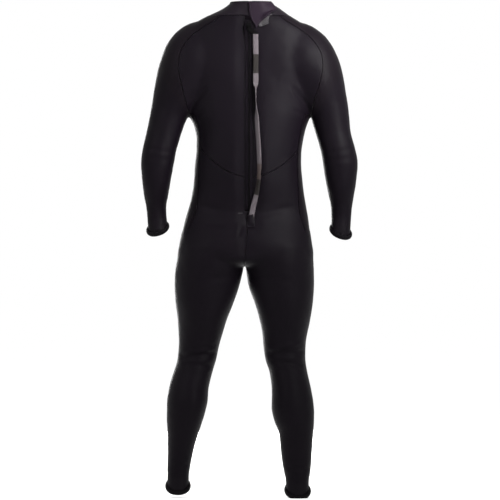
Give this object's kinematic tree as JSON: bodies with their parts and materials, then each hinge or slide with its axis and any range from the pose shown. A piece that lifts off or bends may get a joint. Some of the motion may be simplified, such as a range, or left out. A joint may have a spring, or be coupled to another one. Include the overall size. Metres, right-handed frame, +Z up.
{
  "type": "full wetsuit",
  "caption": "Full-length neoprene wetsuit with a back zip, pull strap, closing collar tab, and arms and legs that bend.",
  "frame": {"origin": "centre of the neck opening, at the collar's rim", "axes": "+Z up, -Y the wearer's front, +X the wearer's left"},
  "size_m": [0.6499, 0.2505, 1.494],
  "materials": {
    "neoprene": "matte",
    "stretch_neoprene": "matte",
    "collar_neoprene": "matte",
    "cuff_neoprene": "matte",
    "knee_pad": "matte",
    "flap_neoprene": "matte",
    "zip_tape": "matte",
    "zip_teeth": "satin",
    "slider_metal": "satin",
    "webbing": "satin",
    "loop_fabric": "matte",
    "hook_fabric": "satin"
  },
  "bodies": {
    "torso": {"collar_band": "collar_neoprene", "collar_loop_patch": "loop_fabric", "front_chest_panel": "neoprene", "front_waist_panel": "neoprene", "left_side_panel": "stretch_neoprene", "left_back_panel": "neoprene", "left_lower_back_panel": "neoprene", "left_seat_panel": "neoprene", "left_groin_panel": "neoprene", "left_shoulder_panel": "stretch_neoprene", "left_zip_tape": "zip_tape", "left_zip_teeth": "zip_teeth", "left_top_stop": "zip_teeth", "right_side_panel": "stretch_neoprene", "right_back_panel": "neoprene", "right_lower_back_panel": "neoprene", "right_seat_panel": "neoprene", "right_groin_panel": "neoprene", "right_shoulder_panel": "stretch_neoprene", "right_zip_tape": "zip_tape", "right_zip_teeth": "zip_teeth", "right_top_stop": "zip_teeth", "zip_bottom_stop": "zip_teeth", "zip_inner_flap": "flap_neoprene", "strap_keeper_patch": "loop_fabric", "pull_strap": "webbing"},
    "left_upper_arm": {"left_upper_sleeve": "neoprene", "left_elbow_panel": "neoprene"},
    "left_forearm": {"left_forearm_sleeve": "neoprene", "left_wrist_cuff": "cuff_neoprene"},
    "left_thigh": {"left_thigh_front_panel": "neoprene", "left_thigh_back_panel": "neoprene", "left_knee_pad": "knee_pad", "left_knee_back_panel": "neoprene"},
    "left_shin": {"left_shin_panel": "neoprene", "left_calf_panel": "neoprene", "left_ankle_cuff": "cuff_neoprene"},
    "right_upper_arm": {"right_upper_sleeve": "neoprene", "right_elbow_panel": "neoprene"},
    "right_forearm": {"right_forearm_sleeve": "neoprene", "right_wrist_cuff": "cuff_neoprene"},
    "right_thigh": {"right_thigh_front_panel": "neoprene", "right_thigh_back_panel": "neoprene", "right_knee_pad": "knee_pad", "right_knee_back_panel": "neoprene"},
    "right_shin": {"right_shin_panel": "neoprene", "right_calf_panel": "neoprene", "right_ankle_cuff": "cuff_neoprene"},
    "slider": {"zip_slider": "slider_metal"},
    "puller": {"zip_puller": "slider_metal"},
    "collar_tab": {"collar_tab": "collar_neoprene", "tab_hook_patch": "hook_fabric"}
  },
  "joints": [
    {"name": "left_shoulder", "type": "hinge", "parent": "torso", "child": "left_upper_arm", "pos_m": [0.208, 0, -0.17], "axis": [0, -1, 0], "range_deg": [0, 75], "stiffness_Nm_per_rad": 2, "deforming": ["left_shoulder_panel"]},
    {"name": "left_elbow", "type": "hinge", "parent": "left_upper_arm", "child": "left_forearm", "pos_m": [0.28, 0, -0.466], "axis": [-1, 0, 0], "range_deg": [0, 100], "stiffness_Nm_per_rad": 1, "deforming": ["left_elbow_panel"]},
    {"name": "left_hip", "type": "hinge", "parent": "torso", "child": "left_thigh", "pos_m": [0.115, 0, -0.81], "axis": [-1, 0, 0], "range_deg": [-10, 60], "stiffness_Nm_per_rad": 6, "deforming": ["left_seat_panel", "left_groin_panel"]},
    {"name": "left_knee", "type": "hinge", "parent": "left_thigh", "child": "left_shin", "pos_m": [0.164, -0.015, -1.08], "axis": [1, 0, 0], "range_deg": [0, 90], "stiffness_Nm_per_rad": 3, "deforming": ["left_knee_pad", "left_knee_back_panel"]},
    {"name": "right_shoulder", "type": "hinge", "parent": "torso", "child": "right_upper_arm", "pos_m": [-0.2, 0, -0.17], "axis": [0, 1, 0], "range_deg": [0, 75], "stiffness_Nm_per_rad": 2, "deforming": ["right_shoulder_panel"]},
    {"name": "right_elbow", "type": "hinge", "parent": "right_upper_arm", "child": "right_forearm", "pos_m": [-0.267, 0, -0.466], "axis": [-1, 0, 0], "range_deg": [0, 100], "stiffness_Nm_per_rad": 1, "deforming": ["right_elbow_panel"]},
    {"name": "right_hip", "type": "hinge", "parent": "torso", "child": "right_thigh", "pos_m": [-0.09, 0, -0.81], "axis": [-1, 0, 0], "range_deg": [-10, 60], "stiffness_Nm_per_rad": 6, "deforming": ["right_seat_panel", "right_groin_panel"]},
    {"name": "right_knee", "type": "hinge", "parent": "right_thigh", "child": "right_shin", "pos_m": [-0.104, -0.015, -1.08], "axis": [1, 0, 0], "range_deg": [0, 90], "stiffness_Nm_per_rad": 3, "deforming": ["right_knee_pad", "right_knee_back_panel"]},
    {"name": "zip_slide", "type": "hinge", "parent": "torso", "child": "slider", "pos_m": [0.006, -1.703, -0.34], "axis": [-1, 0, 0], "range_deg": [0, 17.11], "deforming": ["pull_strap"]},
    {"name": "puller_swing", "type": "hinge", "parent": "slider", "child": "puller", "pos_m": [0.006, 0.08262, -0.07622], "axis": [1, 0, 0], "range_deg": [0, 120]},
    {"name": "collar_tab_swing", "type": "hinge", "parent": "torso", "child": "collar_tab", "pos_m": [0.0045, 0.064, 0], "axis": [0, 0.22, -0.9755], "range_deg": [0, 120]}
  ]
}
